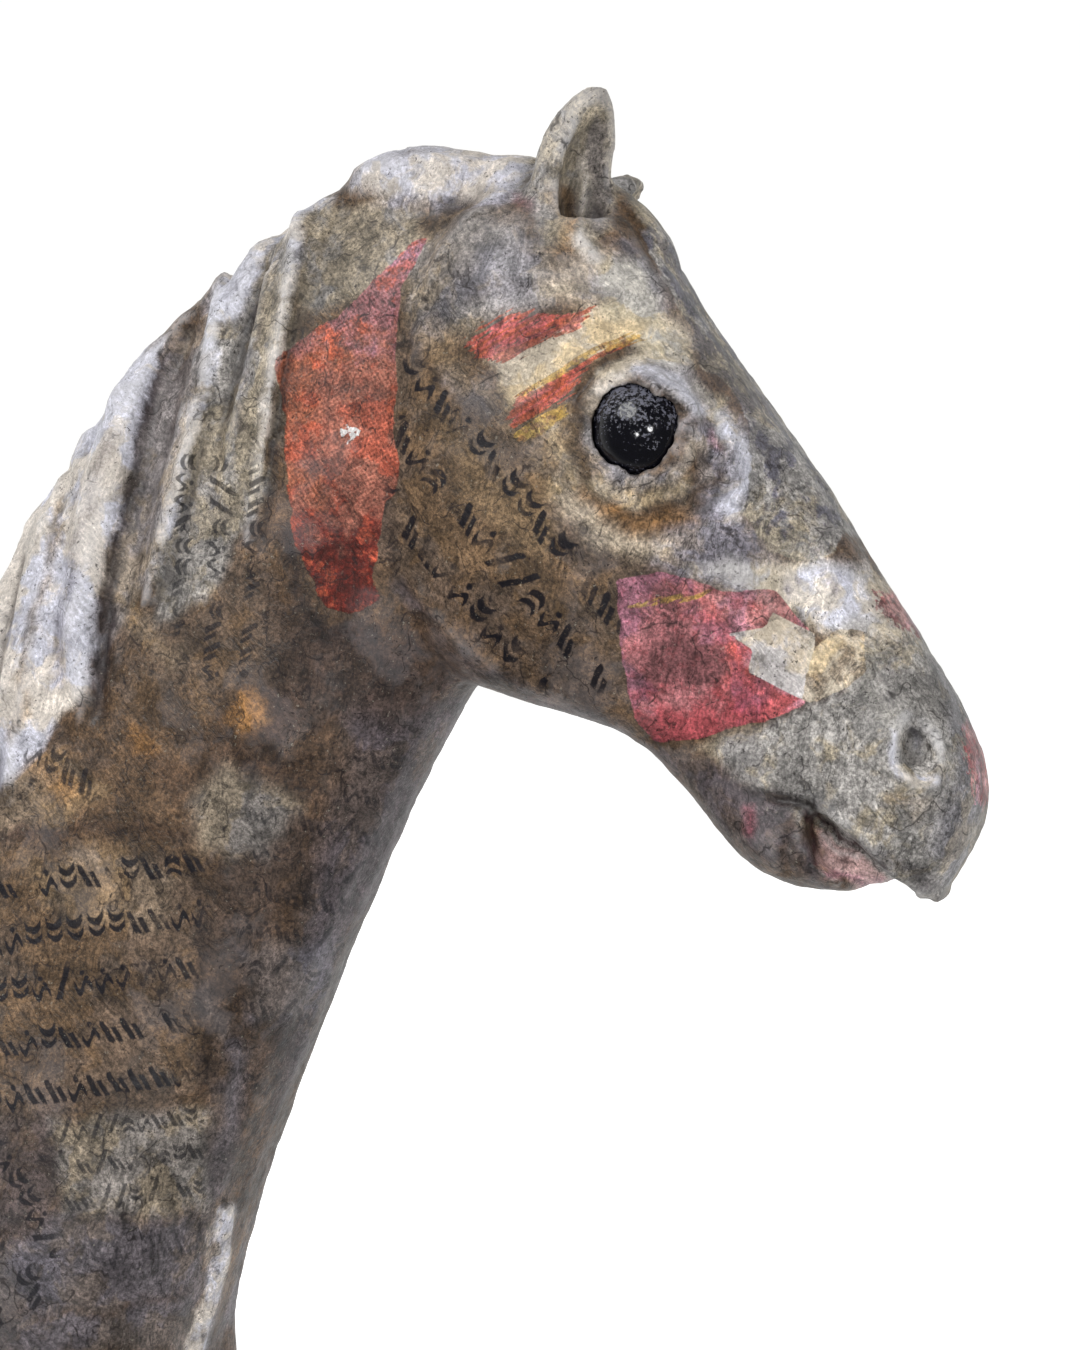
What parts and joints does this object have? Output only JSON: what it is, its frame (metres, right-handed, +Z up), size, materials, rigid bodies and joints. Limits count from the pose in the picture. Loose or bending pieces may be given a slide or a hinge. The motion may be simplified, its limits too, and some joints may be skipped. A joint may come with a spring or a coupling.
{
  "type": "papier-mache animal",
  "caption": "Small bust of a horse's head and neck in pasted printed paper, cut flat below, with pricked ears, a mane in locks and glossy black ball eyes.",
  "frame": {"origin": "middle of the flat underside of the neck", "axes": "+X the way the horse faces, +Y to its left, +Z up"},
  "size_m": [0.1096, 0.0356, 0.0971],
  "materials": {
    "pasted_paper": "torn newsprint and coloured paper pasted in layers, varnished satin, weathered with grey and brown washes",
    "eye_black": "glossy black ball, scuffed above"
  },
  "bodies": {
    "root": {"paper_horse": "pasted_paper", "right_eye": "eye_black", "left_eye": "eye_black"}
  },
  "joints": []
}
